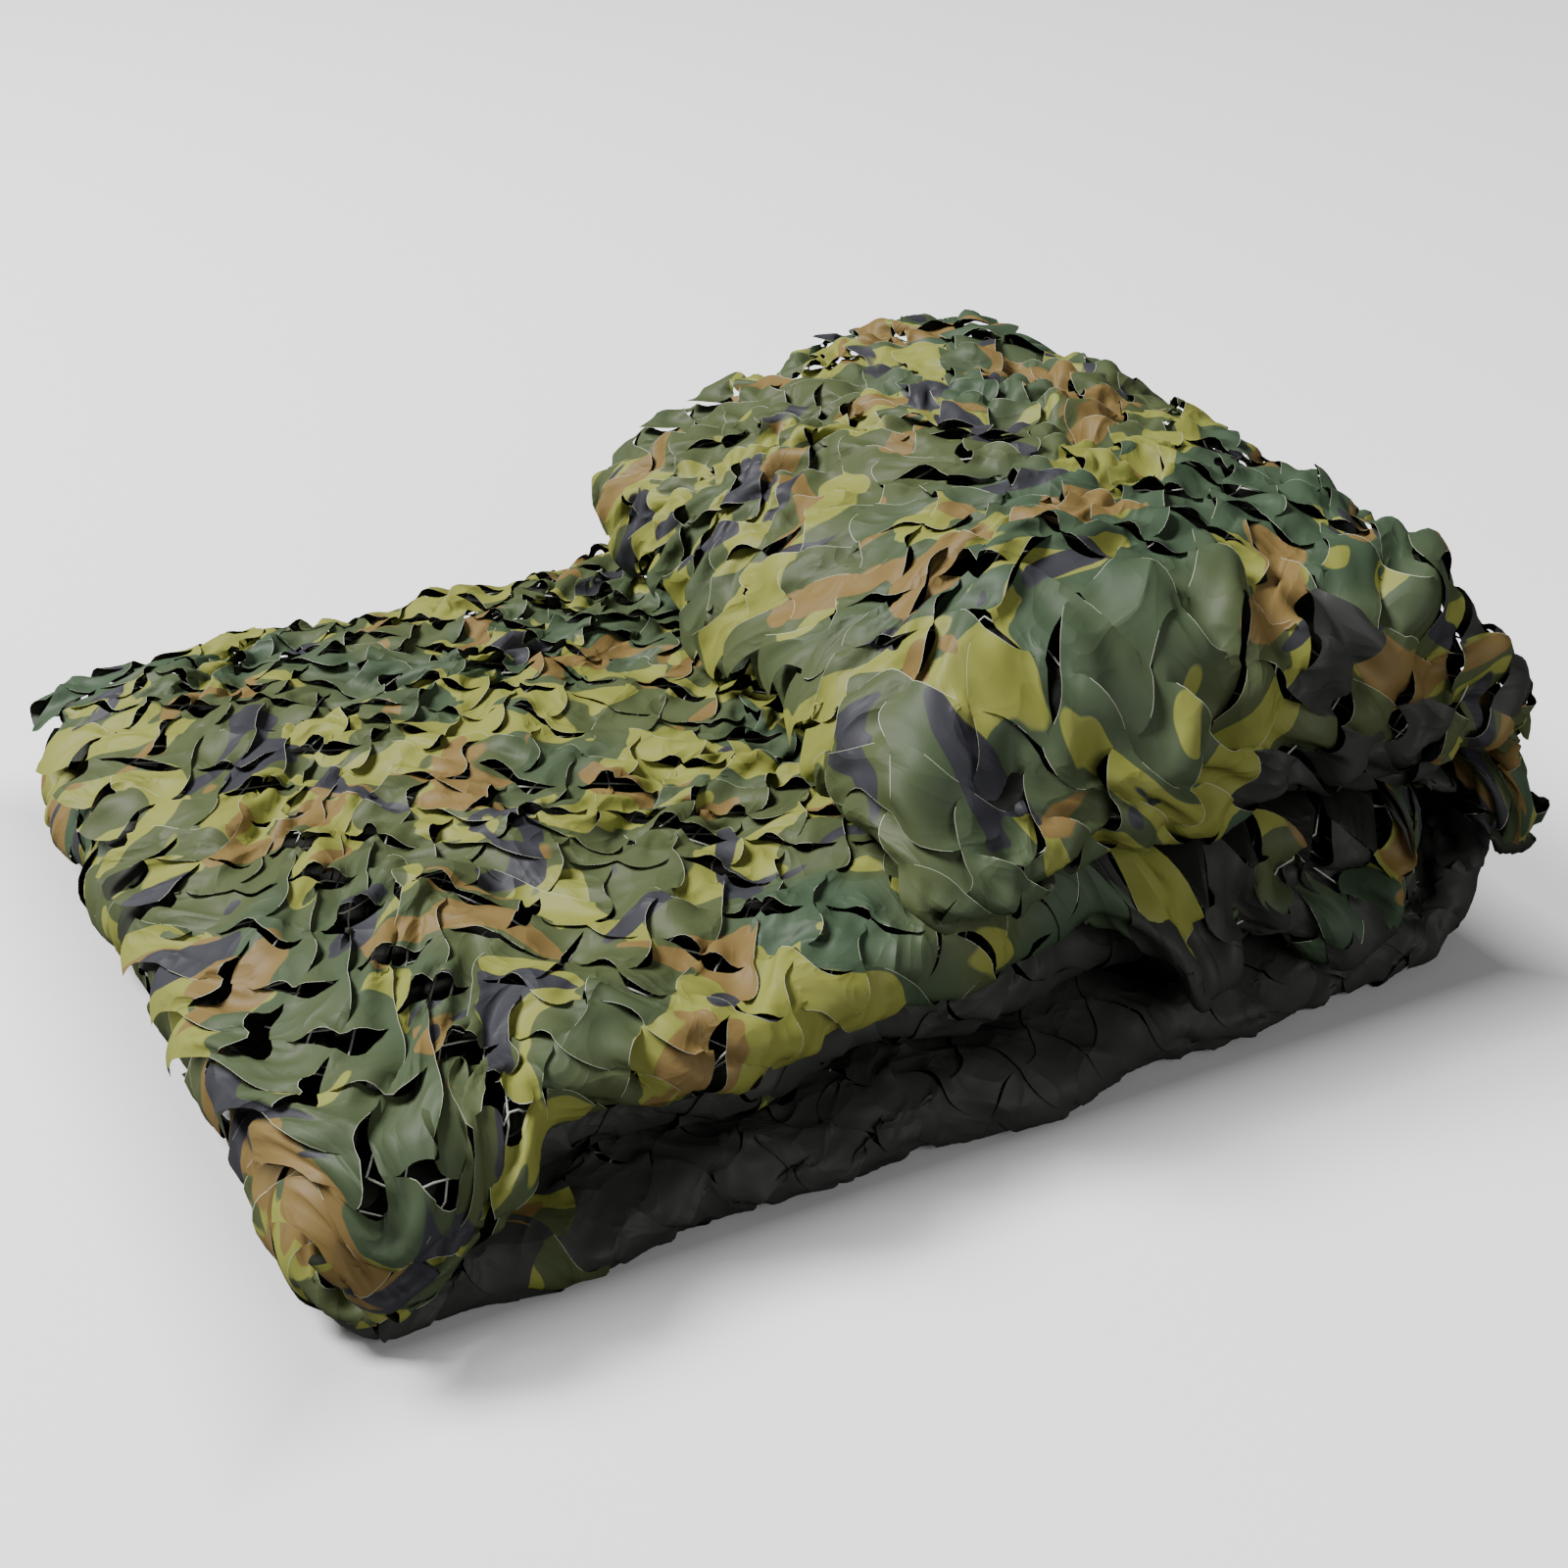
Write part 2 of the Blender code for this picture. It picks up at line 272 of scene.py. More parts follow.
def arc(first, last, side, reach=1.0):
    """A stretch of the plies' way round an edge: side -1 is the front edge and 1 the back."""
    turned = np.radians(np.linspace(first, last, ARC_POINTS))
    flat = np.full(ARC_POINTS, (side + 1) / 2)
    out = side * np.cos(turned) * reach
    return np.stack([flat, out, np.sin(turned) * reach, side * np.cos(turned), np.sin(turned)], 1)


# The way of the three plies across a layer, from the cloth's raw edge at the back. Columns: the
# share of the flat part from front to back, how far out on the rounded edge, the share of the
# layer's half thickness, and the outward direction's two parts.
ply_rows = np.concatenate([
    arc(4, 90, 1),
    arc(90, -90, -1),
    arc(-90, -20, 1, 0.94),
    [[1.0, 0.10, 0.02, 0, 1], [0.96, 0, 0.05, 0, 1], [0.02, 0, 0.05, 0, 1]],
])
ply_place = np.stack([
    ply_rows[:, 0] * (WIDTH - 2 * EDGE_ROUND) + ply_rows[:, 1] * EDGE_ROUND,
    ply_rows[:, 2] * LAYER / 2,
], 1)
ply_across = np.concatenate([[0], np.cumsum(np.hypot(*np.diff(ply_place, axis=0).T))])
NET_WIDTH = ply_across[-1]
FRONT_TURN = ply_across[ARC_POINTS + ARC_POINTS // 2]  # the way's place on the front edge
BACK_TURN = ply_across[3 * ARC_POINTS - 1]


def ruffle(along, y):
    """The low relief of the layers' faces."""
    long_wave = 2 * math.pi * along / RUFFLE_LONG
    cross_wave = 2 * math.pi * y / RUFFLE_ACROSS
    bent = np.sin(long_wave + 1.3 * np.sin(0.5 * cross_wave))
    return RUFFLE * bent * np.cos(cross_wave + 0.8 * np.sin(0.7 * long_wave))


def hanging(z):
    """The share of the outermost layer's lip at a height: 1 on the top, 0 from LIP_FADE down."""
    return 1 - np.sqrt(np.clip((height(OUTERMOST_LAYER.floor) - z) / LIP_FADE, 0, 1))


def rim_hanging(x, z):
    """The share of the slab's hanging front rim: it hangs only under the folded-over part."""
    near = np.clip(1 - abs(z - height(SLAB_TOP_LAYER.floor)) / (PITCH / 2), 0, 1)
    return near * smooth((x - TOP_FOLD) / RIM_FADE)


def corner_hanging(x, z, shown):
    """The share of the slab's hanging front left corner, which ends before the left fold."""
    above = np.clip((z - CORNER_FOOT) / (height(SLAB_TOP_LAYER.floor) - CORNER_FOOT), 0, 1)
    near = smooth((CORNER_END - x) / CORNER_FADE) * smooth((x - CORNER_START) / CORNER_RISE)
    return above * np.clip(-shown, 0, 1) * near


def bent_down(y, z, offset, line, radius, most, thinner):
    """Bends a layer down in front of a line, keeping its length."""
    over = np.maximum(line - y, 0)
    turned = np.minimum(over / radius, most)
    rest = over - turned * radius
    out = offset * (1 - thinner * np.minimum(1, turned))
    bent_y = line - radius * np.sin(turned) - rest * np.cos(turned)
    fall = radius * (1 - np.cos(turned)) + rest * np.sin(turned)
    bent_y = np.where(over > 0, bent_y - out * np.sin(turned), y)
    return bent_y, z - fall + out * np.cos(turned)


def skew(x, y, z):
    """How far right a place in the folded-over part moves, so that its left side turns."""
    share = np.clip((RIGHT_END - x) / (RIGHT_END - TOP_FOLD), 0, 1)
    lifted = z >= height(SLAB_TOP_LAYER.floor) + LAYER / 2
    return SKEW * (y / WIDTH - SKEW_STILL) * share * lifted


def settled(x, y, z):
    """Bends the whole bundle a little, as a loosely folded net lies."""
    up = z / (height(OUTERMOST_LAYER.floor) + LAYER / 2)
    right, back = np.maximum(0, x / LENGTH), np.maximum(0, y / WIDTH)
    left, front = np.maximum(0, 1 - x / LENGTH), np.maximum(0, 1 - y / WIDTH)
    front_left = left**2 * front**2 * (1 - up)
    back_left = left**2 * back**2
    hollow = np.exp(-(((x - HOLLOW_MIDDLE) / HOLLOW_LENGTH) ** 2)) * back**2
    loft = LEFT_LOFT + (TOP_LOFT - LEFT_LOFT) * np.minimum(1, x / TOP_FOLD)
    loft -= RIGHT_DROP * right**3 + BACK_RIGHT_DROP * right**3 * back**2
    loft -= BACK_LEFT_DROP * back_left + HOLLOW_DEPTH * hollow
    loft *= 1 - EDGE_DROP * abs(2 * y / WIDTH - 1) ** 3
    # Low waves of 0.2 to 1 m: in the height as a share of it, and sideways and forward in metres
    hump = 0.030 * np.sin(7.5 * x + 5.0 * y) + 0.022 * np.sin(19 * x - 11 * y + 1.3)
    sideways = 0.007 * np.sin(9.0 * y + 6 * up) + 0.008 * up * np.sin(6.3 * y + 0.6)
    forward = 0.006 * np.sin(12 * x + 5 * up) + 0.003 * np.sin(31 * x - 5 * up)
    settled_x = x + sideways + RIGHT_LEAN * (0.35 - up) * right**4
    settled_x += BACK_LEFT_IN * back_left - FRONT_LEFT_OUT * front_left
    settled_y = y + forward - FRONT_LEFT_FORWARD * front_left
    settled_y -= BACK_LEFT_IN * back_left + BACK_FORWARD * smooth(right / 0.6) * back**3
    return np.stack([settled_x, settled_y, z * loft * (1 + hump)], axis=1)


def tucked(x, y, z):
    """Lets the folded-over part's front left corner sink and slump forward onto the slab."""
    slab_top = height(SLAB_TOP_LAYER.floor) + LAYER / 2
    above = np.maximum(0, z - slab_top)
    near = smooth((TUCK_END - x) / TUCK_END_FADE) * smooth((TUCK_BACK - y) / TUCK_BACK_FADE)
    near *= smooth(above / TUCK_UP_FADE)
    return y - TUCK_FORWARD * near, z - TUCK * near * above


def folded(along, across, lift):
    """Where points of the net lie in the folded bundle, lifted off their own ply."""
    x, z, half, front_in, back_in, phase, shown, run_x, run_z = course(along).T
    across = np.clip(across, 0, NET_WIDTH)
    flat, out, share, out_y, out_z = (np.interp(across, ply_across, c) for c in ply_rows.T)
    wave = EDGE_WAVE * np.sin(2 * math.pi * along / RUFFLE_LONG + phase)
    lip, rim, corner = hanging(z), rim_hanging(x, z), corner_hanging(x, z, shown)
    front = front_in + wave - LIP_REACH * lip - RIM_REACH * rim - CORNER_REACH * corner
    depth = WIDTH - back_in + wave - front
    y = front + EDGE_ROUND * (1 + out) + (depth - 2 * EDGE_ROUND) * flat + lift * out_y
    offset = share * (half + ruffle(along, y)) + lift * out_z
    line, radius = np.where(rim > 0, [[RIM_LINE], [RIM_RADIUS]], [[LIP_LINE], [LIP_RADIUS]])
    line, radius = np.where(corner > 0, [[CORNER_LINE], [RIM_RADIUS]], [line, radius])
    most = LIP_TURN * lip + RIM_TURN * rim + CORNER_TURN * np.minimum(1, 2 * corner)
    thinner = np.where(rim + corner > 0, 0.5, (1 - BENT_LAYER / LAYER) / LIP_TURN)
    bent_y, bent_z = bent_down(y, z, run_x * offset, line, radius, most, thinner)
    return settled(x - run_z * offset + skew(x, y, z), *tucked(x, bent_y, bent_z))


# The bundle's place is that of its solid
grid_along, grid_across = np.meshgrid(np.linspace(0, NET_LENGTH, 400), np.linspace(0, NET_WIDTH, 90))
grid = folded(grid_along.ravel(), grid_across.ravel(), np.zeros(grid_along.size))
solid_low, solid_high = (np.array(corner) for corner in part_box("folded_net"))
shift = (solid_low + solid_high - grid.min(0) - grid.max(0)) / 2
shift[2] = -grid[:, 2].min() + FLOOR_CLEAR


FRONT_SEEN, BACK_SEEN, END_SEEN = 0.062, 0.040, 0.055  # how far from a rim or an end it shows


def shows(along, across):
    """Whether a place of the net can be seen: on a face, on a front or back rim, or at an end."""
    shown = course(along)[:, 6]
    seen = (shown > 0.5) & (across < FRONT_TURN)
    seen |= (shown < -0.5) & (across > FRONT_TURN) & (across < BACK_TURN)
    seen |= (abs(across - FRONT_TURN) < FRONT_SEEN) | (abs(across - BACK_TURN) < BACK_SEEN)
    return seen | (np.minimum(across, np.minimum(along, NET_LENGTH - along)) < END_SEEN)


# ----------------------------------------------------------------------
# The leaf-cut cloth: one printed polyester panel with short S-shaped slits, each across its
# neighbours' ends, so that it opens into leaves. The net gathers it, so the leaves stand up.

LEAF = 0.0270  # between the middles of two slits, as the cloth lies
FULLNESS = 1.16  # of the cloth as it was cut, over the net as it lies
TWIST = math.radians(42)  # of the slits' rows, against the net's length
S_BEND = 0.13  # how far a slit swings out to each side, in leaves
BRIDGE = 0.13  # half the width of the bridge between two slits, in leaves
FINE_STEPS = np.array([0, BRIDGE, 0.23, 0.34, 0.45, 0.55, 0.66, 0.77, 1 - BRIDGE, 1])
COARSE_STEPS = np.array([0, BRIDGE, 1 - BRIDGE, 1])
LIP_DEPTH = 0.38  # how far into a leaf its lips bend, in leaves
TRIM = 0.03  # how much a slit's lips draw back, in leaves
LIFT = 0.016  # how far a plain lip is lifted off its ply before the cloth settles
LEAF_TURN = math.radians(6.5)  # how far neighbouring leaves turn in the plane, opposite ways
GATHER = 0.0068  # how far the net draws the cloth along itself
NET_EDGE = 0.002  # between the leaves and the net's own edge
FREE_RIM_START, FREE_RIM_END = 1.60, 2.62  # along the net: the layers under the outermost one

random = np.random.default_rng(11)


def waves(along, across, size, count=7):
    """A smooth random field of about -1 to 1, whose waves are about that long."""
    total = np.zeros(len(along))
    for i in range(count):
        heading = random.uniform(0, 2 * math.pi)
        length = size * random.uniform(0.75, 1.5)
        phase = random.uniform(0, 2 * math.pi)
        ahead = along * math.cos(heading) + across * math.sin(heading)
        total += np.sin(2 * math.pi * ahead / length + phase)
    return total / math.sqrt(count)


reach = int(math.hypot(NET_LENGTH, NET_WIDTH) / LEAF) + 2
column, row = (a.ravel() for a in np.meshgrid(np.arange(-reach, reach), np.arange(-reach, reach)))


def laid(column, row):
    """From leaves to metres along and across the net as it lies."""
    along = LEAF * (column * math.cos(TWIST) - row * math.sin(TWIST))
    across = LEAF * (column * math.sin(TWIST) + row * math.cos(TWIST))
    return along + 0.5 * NET_LENGTH, across + 0.5 * NET_WIDTH


inside = np.ones(len(column), bool)
for corner_column, corner_row in ((0, 0), (1, 0), (0, 1), (1, 1)):
    along, across = laid(column + corner_column, row + corner_row)
    inside &= (along > NET_EDGE) & (along < NET_LENGTH - NET_EDGE)
    inside &= (across > NET_EDGE) & (across < NET_WIDTH - NET_EDGE)
column, row = column[inside], row[inside]
middle_along, middle_across = laid(column + 0.5, row + 0.5)

# Only leaves that can be seen are made finely
fine = shows(middle_along, middle_across)


def leaf_points(steps, leaves):
    """The columns and rows of each leaf's own grid of points."""
    a, b = np.meshgrid(steps, steps, indexing="ij")
    cols = (column[leaves][:, None] + a.ravel()).ravel()
    rows = (row[leaves][:, None] + b.ravel()).ravel()
    return cols, rows


fine_leaves, coarse_leaves = np.flatnonzero(fine), np.flatnonzero(~fine)
leaf_kinds = ((FINE_STEPS, fine_leaves), (COARSE_STEPS, coarse_leaves))
point_column, point_row = np.hstack([leaf_points(steps, leaves) for steps, leaves in leaf_kinds])
leaf_sides = np.where(fine, len(FINE_STEPS), len(COARSE_STEPS))
leaf_first = np.zeros(len(column), int)
leaf_first[fine_leaves] = np.arange(len(fine_leaves)) * len(FINE_STEPS) ** 2
coarse_first = len(fine_leaves) * len(FINE_STEPS) ** 2
leaf_first[coarse_leaves] = coarse_first + np.arange(len(coarse_leaves)) * len(COARSE_STEPS) ** 2

# Neighbouring leaves are joined only by the short bridges between slits
leaf_at = np.full((2 * reach + 2, 2 * reach + 2), -1)
leaf_at[column + reach, row + reach] = np.arange(len(column))


def grid_point(leaf, a, b):
    """A leaf's point a steps along and b steps across it, where -1 and -2 count from the end."""
    side = leaf_sides[leaf]
    a = np.where(a < 0, side + a, a)
    b = np.where(b < 0, side + b, b)
    return leaf_first[leaf] + a * side + b


same_as = np.arange(len(point_column))
even = (column + row) % 2 == 0
for step_column, step_row in ((-1, 0), (0, -1)):
    neighbour = leaf_at[column + reach + step_column, row + reach + step_row]
    here = np.flatnonzero(neighbour >= 0)
    there = neighbour[here]
    low_end = even[here] == bool(step_column)
    for point in (0, 1):
        ours = np.where(low_end, point, -1 - point)
        if step_column:
            same_as[grid_point(here, 0, ours)] = grid_point(there, -1, ours)
        else:
            same_as[grid_point(here, ours, 0)] = grid_point(there, ours, -1)
kept, index = np.unique(same_as, return_inverse=True)
point_column, point_row = point_column[kept], point_row[kept]

# The slits swing from side to side, so that they are S-shaped
bend = S_BEND * (1 + 0.45 * waves(*laid(point_column, point_row), 0.09))
swing = bend * np.sin(math.pi * point_column) * np.cos(math.pi * point_row)
sway = -bend * np.cos(math.pi * point_column) * np.sin(math.pi * point_row)
cut_column, cut_row = point_column + sway, point_row + swing


def quads(steps, leaves):
    """Each leaf's faces, by its own points."""
    n = len(steps)
    a, b = np.meshgrid(np.arange(n - 1), np.arange(n - 1), indexing="ij")
    near = (a * n + b).ravel()
    corners = np.stack([near, near + 1, near + n + 1, near + n], 1)
    return (leaf_first[leaves][:, None, None] + corners).reshape(-1, 4)


# Each slit lifts one of its lips, mostly the further one, and lets the other lie down. One in five
# lifts much more. Some gape and some overlap.
slit_grid = np.arange(-reach, reach + 2)
slit_along, slit_across = laid(*np.meshgrid(slit_grid, slit_grid, indexing="ij"))
slit_lift = random.uniform(0.30, 1.0, leaf_at.shape)
slit_lift += random.choice([0, 0.7], leaf_at.shape, p=[0.8, 0.2])
slit_lift *= random.choice([-1, 1], leaf_at.shape, p=[0.25, 0.75])
slit_gape = waves(slit_along.ravel(), slit_across.ravel(), 0.10).reshape(leaf_at.shape)
slit_gape = np.clip(0.02 + 0.07 * slit_gape + random.normal(0, 0.04, leaf_at.shape), -0.12, 0.13)


def slit_effect(column_at, row_at):
    """Sums, over the slits round each point, how much its lip is lifted and pushed aside."""
    lifted = np.zeros(len(column_at))
    aside = np.zeros((len(column_at), 2))
    lip_side = np.zeros((len(column_at), 2))
    for near_column in (0, 1):
        for near_row in (0, 1):
            i = np.floor(column_at - 1e-4).astype(int) + near_column
            j = np.floor(row_at - 1e-4).astype(int) + near_row
            level = (i + j) % 2 == 0
            ahead = np.where(level, column_at - i, row_at - j)
            off = np.where(level, row_at - j, column_at - i)
            strength = slit_lift[i + reach, j + reach]
            profile = np.maximum(0, 1 - (ahead / (1 - BRIDGE)) ** 2) * np.exp(-abs(off) / LIP_DEPTH)
            side = np.sign(off + 1e-9)
            lifted += abs(strength) * profile * np.where(side * strength > 0, 1.0, -0.3)
            for axis, along_it in ((1, level), (0, ~level)):
                lip_side[:, axis] += np.where(along_it, profile * side, 0)
                gape = slit_gape[i + reach, j + reach] * profile * side
                aside[:, axis] += np.where(along_it, gape, 0)
    return lifted, aside, lip_side


# Each point's effects are read just inside its own leaf, so that they are those of its own side
# of a slit
owner = np.concatenate([np.repeat(leaves, len(steps) ** 2) for steps, leaves in leaf_kinds])[kept]
leaf_column, leaf_row = column[owner] + 0.5, row[owner] + 0.5
inner_column = point_column + (leaf_column - point_column) * 1e-3
inner_row = point_row + (leaf_row - point_row) * 1e-3
lifted, aside, lip_side = slit_effect(inner_column, inner_row)

along, across = laid(cut_column, cut_row)
trim = TRIM * np.clip(2 * lip_side, -1, 1)
flat_points = np.stack(laid(cut_column + trim[:, 0], cut_row + trim[:, 1]), 1) * FULLNESS
move_along = GATHER * waves(along, across, 0.15)
move_across = GATHER * waves(along, across, 0.15)
leaf_turn = LEAF_TURN * np.where(even[owner], -1, 1)
leaf_turn = leaf_turn * (0.55 + 0.6 * waves(along, across, 0.12))
off_column, off_row = cut_column - leaf_column, cut_row - leaf_row
turned_column = leaf_column + off_column * np.cos(leaf_turn) - off_row * np.sin(leaf_turn)
turned_row = leaf_row + off_column * np.sin(leaf_turn) + off_row * np.cos(leaf_turn)
along, across = laid(turned_column, turned_row)
spread_along, spread_across = laid(aside[:, 0], aside[:, 1])
spread_along -= 0.5 * NET_LENGTH
spread_across -= 0.5 * NET_WIDTH

# The parts of the bundle: its outer faces, the rims of its layers, those that hang free under the
# outermost layer, and the low front, where the two lowest layers lie in shade. The distances are
# in metres over the cloth.
here_x, here_z, shown_here = course(along)[:, [0, 1, 6]].T
from_front = abs(across - FRONT_TURN)
left_face = (shown_here > 0.5) & (across < FRONT_TURN + 0.03)
right_face = (shown_here < -0.5) & (across > FRONT_TURN - 0.03) & (across < BACK_TURN + 0.02)
outer = left_face | right_face
rim = (from_front < 0.05) | (abs(across - BACK_TURN) < 0.03) | (across < 0.04)
free_rim = (from_front < 0.05) & (along > FREE_RIM_START) & (along < FREE_RIM_END)
low_front = (here_z < height(SECOND_LAYER.floor) + LAYER / 2) & (from_front < 0.11)
folded_over = left_face & (here_z > height(FIFTH_LAYER.floor))
slab_edge = (shown_here < -0.5) & (from_front < 0.035)
far_front = smooth((here_x - 0.46) / 0.06) * smooth((across - FRONT_TURN + 0.15) / 0.06)
far_front = folded_over * far_front
spilling = free_rim * smooth((here_x - 0.36) / 0.06)

# Leaves stand off most along the slab's front edge and on the folded-over part
lively = np.where(outer, 1.0, np.where(free_rim, 0.9, np.where(rim, 0.45, 0.2)))
lively = np.where(low_front, 0.25, lively)
lively = np.where(folded_over, 1.45 + 0.40 * far_front, np.where(slab_edge, 1.7, lively))
restless = smooth(0.5 + 0.9 * waves(along, across, 0.21))
restless = np.where(folded_over, 0.50 + 0.50 * restless, 0.30 + 0.70 * restless)
lift = LIFT * lifted * restless * lively
# Rumples of about 75 and 36 mm, strongest where the rims spill out under the folded-over part
rumple = (0.0022 * outer + 0.0080 * spilling + 0.0015 * far_front) * waves(along, across, 0.075)
rumple += (0.0012 * outer + 0.0062 * spilling + 0.0032 * far_front) * waves(along, across, 0.036)
# The cloth's length at least, over that of the fold it lies on: on the slab's top it is taut in
# places, so that its openings gape
ease = np.where(shown_here < -0.5, 0.92, 1.12) + 0.13 * spilling + 0.05 * far_front

place_along = np.clip(along + move_along + spread_along, 0.0005, NET_LENGTH - 0.0005)
place_across = np.clip(across + move_across + spread_across, 0.0005, NET_WIDTH - 0.0005)
resting = folded(place_along, place_across, np.zeros(len(along))) + shift
outward = folded(place_along, place_across, np.full(len(along), 0.001)) + shift - resting
outward /= np.linalg.norm(outward, axis=1)[:, None]
resting += outward * rumple[:, None]
points = resting + outward * lift[:, None]


def slit_lips():
    """Pairs of points on the two lips of a slit, the upper one first."""
    uppers, lowers = [], []
    for step_column, step_row in ((-1, 0), (0, -1)):
        neighbour = leaf_at[column + reach + step_column, row + reach + step_row]
        here = np.flatnonzero((neighbour >= 0) & fine & fine[neighbour])
        there = neighbour[here]
        further = even[here] == bool(step_column)
        i = column[here] + (further if step_row else 0)
        j = row[here] + (further if step_column else 0)
        steps = np.arange(len(FINE_STEPS))
        ends = ((0, steps), (-1, steps)) if step_column else ((steps, 0), (steps, -1))
        ours = index[grid_point(here[:, None], *ends[0])]
        theirs = index[grid_point(there[:, None], *ends[1])]
        ours_up = (slit_lift[i + reach, j + reach] > 0)[:, None]
        uppers.append(np.where(ours_up, ours, theirs).ravel())
        lowers.append(np.where(ours_up, theirs, ours).ravel())
    uppers, lowers = np.concatenate(uppers), np.concatenate(lowers)
    apart = uppers != lowers
    return uppers[apart], lowers[apart]


uppers, lowers = slit_lips()

# How many steps along and across a leaf each thread spans, and how firmly it keeps its length
THREADS = (((1, 0), 0.5), ((0, 1), 0.5), ((1, 1), 0.4), ((1, -1), 0.4), ((3, 0), 0.1), ((0, 3), 0.1))
OVERSHOOT = 1.9  # so that the threads come to their lengths in fewer rounds
SPRING = 0.14  # how firmly the cloth resists sharp bends
SAG = 0.00004  # how far a point falls in a round
BRIDGE_HOLD, LEAF_HOLD = 0.08, 0.005  # how firmly points stay where they were laid
LIP_GAP = 0.0012  # at least this much lies between a lip and the one under it
ROUNDS, QUICK_ROUNDS = 100, 12


def settle(points, rounds):
    """Lets the cloth take its own lengths again: every thread keeps its length and resists sharp
    bends, bridges stay on the string, leaves hang a little, and no lip sinks through another."""
    n = len(FINE_STEPS)
    own = index[:coarse_first].reshape(-1, n, n)
    count = len(points)
    shared_by = np.bincount(own.ravel(), minlength=count)
    movable = shared_by > 0
    movable[index[coarse_first:]] = False
    bridge = np.bincount(index, minlength=count) > 1
    hold = np.where(bridge, BRIDGE_HOLD, LEAF_HOLD)[:, None]
    # How far under and over its own ply a point may lie
    low = np.where(outer, -0.004, -0.002)
    high = np.where(outer, 0.021, np.where(free_rim, 0.018, 0.008))

    def sides(a, b):
        """The near and far points of the threads that run a along and b across a leaf."""
        near = (slice(None), slice(max(0, -a), n - max(0, a)), slice(max(0, -b), n - max(0, b)))
        far = (slice(None), slice(max(0, a), n + min(0, a)), slice(max(0, b), n + min(0, b)))
        return near, far

    def gathered(values):
        """The sums, at the shared points, of what each leaf gives them."""
        return np.stack([
            np.bincount(own.ravel(), weights=values[..., k].ravel(), minlength=count)
            for k in range(values.shape[-1])
        ], 1)

    flat = flat_points[own]
    threads = []
    shares = np.zeros(own.shape + (1,))
    neighbours = np.zeros(own.shape + (1,))
    for (a, b), firm in THREADS:
        near, far = sides(a, b)
        cut_length = np.linalg.norm(flat[far] - flat[near], axis=-1)
        folded_length = np.linalg.norm(resting[own[far]] - resting[own[near]], axis=-1)
        rest = np.maximum(cut_length, folded_length * ease[own[near]])
        threads.append((near, far, firm, rest))
        for end in (near, far):
            shares[end] += 2 * firm
            neighbours[end] += a + b == 1
    weight = gathered(shares) + 1e-9
    for step in range(rounds):
        at = points[own]
        pulled = np.zeros(at.shape)
        for near, far, firm, rest in threads:
            gap = at[far] - at[near]
            length = np.linalg.norm(gap, axis=-1) + 1e-9
            pull = gap * (firm * (length - rest) / length)[..., None]
            pulled[near] += pull
            pulled[far] -= pull
        moved = gathered(pulled) * OVERSHOOT / weight
        bend = (points - resting)[own]
        for again in range(2):
            mean = np.zeros(at.shape)
            for a, b in ((1, 0), (0, 1)):
                near, far = sides(a, b)
                mean[near] += bend[far]
                mean[far] += bend[near]
            bend = mean / neighbours - bend
        moved -= SPRING * gathered(bend) / np.maximum(1, shared_by)[:, None]
        moved += (resting - points) * hold
        moved[:, 2] -= SAG
        points = points + moved * movable[:, None]
        rise = np.einsum("ij,ij->i", points - resting, outward)
        short = np.maximum(0, LIP_GAP - rise[uppers] + rise[lowers]) / 2
        rise_by, sink_by = np.zeros(count), np.zeros(count)
        np.maximum.at(rise_by, uppers, short)
        np.maximum.at(sink_by, lowers, short)
        fix = np.clip(rise + rise_by - sink_by, low, high) - rise
        points = points + outward * (fix * movable)[:, None]
        points[:, 2] = np.maximum(points[:, 2], FLOOR_CLEAR)
    return points


points = settle(points, ROUNDS)
faces = index[np.concatenate([quads(steps, leaves) for steps, leaves in leaf_kinds])]
face_leaf = np.concatenate([np.repeat(leaves, (len(steps) - 1) ** 2) for steps, leaves in leaf_kinds])


def distance_to_cut(steps, leaves):
    """How far each face's corners lie from their leaf's upper lips, in metres of cloth."""
    last = len(steps) - 2
    a, b = (i.ravel() for i in np.meshgrid(np.arange(last + 1), np.arange(last + 1), indexing="ij"))
    left, right = steps[a], steps[a + 1]
    low, high = steps[b], steps[b + 1]
    corner_a = np.stack([left, left, right, right], 1)
    corner_b = np.stack([low, high, high, low], 1)
    gaps = []
    for start, end in ((0, last), (last, 0)):
        sides = (
            np.where(((a == 0) & (b == start))[:, None], 1, corner_a),
            np.where(((a == last) & (b == end))[:, None], 1, 1 - corner_a),
            np.where(((b == 0) & (a == end))[:, None], 1, corner_b),
            np.where(((b == last) & (a == start))[:, None], 1, 1 - corner_b),
        )
        gaps.append(np.stack(sides))
    leaf_even = even[leaves]
    chosen = np.where(leaf_even[:, None, None, None], gaps[0], gaps[1])
    i, j = column[leaves] + reach, row[leaves] + reach
    upper = np.stack([
        slit_lift[i, j + leaf_even] > 0,
        slit_lift[i + 1, j + ~leaf_even] < 0,
        slit_lift[i + ~leaf_even, j] > 0,
        slit_lift[i + leaf_even, j + 1] < 0,
    ], 1)
    chosen = np.where(upper[:, :, None, None], chosen, 1).min(1)
    return chosen.reshape(-1, 4) * LEAF * FULLNESS


# The pale cut edge, with a painted highlight on it, is drawn only where an upper lip stands off the
# other one
LIPS_APART = 0.0031
CLOSED = 0.01  # added to the distance from a cut that isn't open
opened = np.zeros(len(points))
np.maximum.at(opened, uppers, np.linalg.norm(points[uppers] - points[lowers], axis=1))
cut_gap = np.concatenate([distance_to_cut(steps, leaves) for steps, leaves in leaf_kinds])
cut_gap[opened[faces] < LIPS_APART] += CLOSED
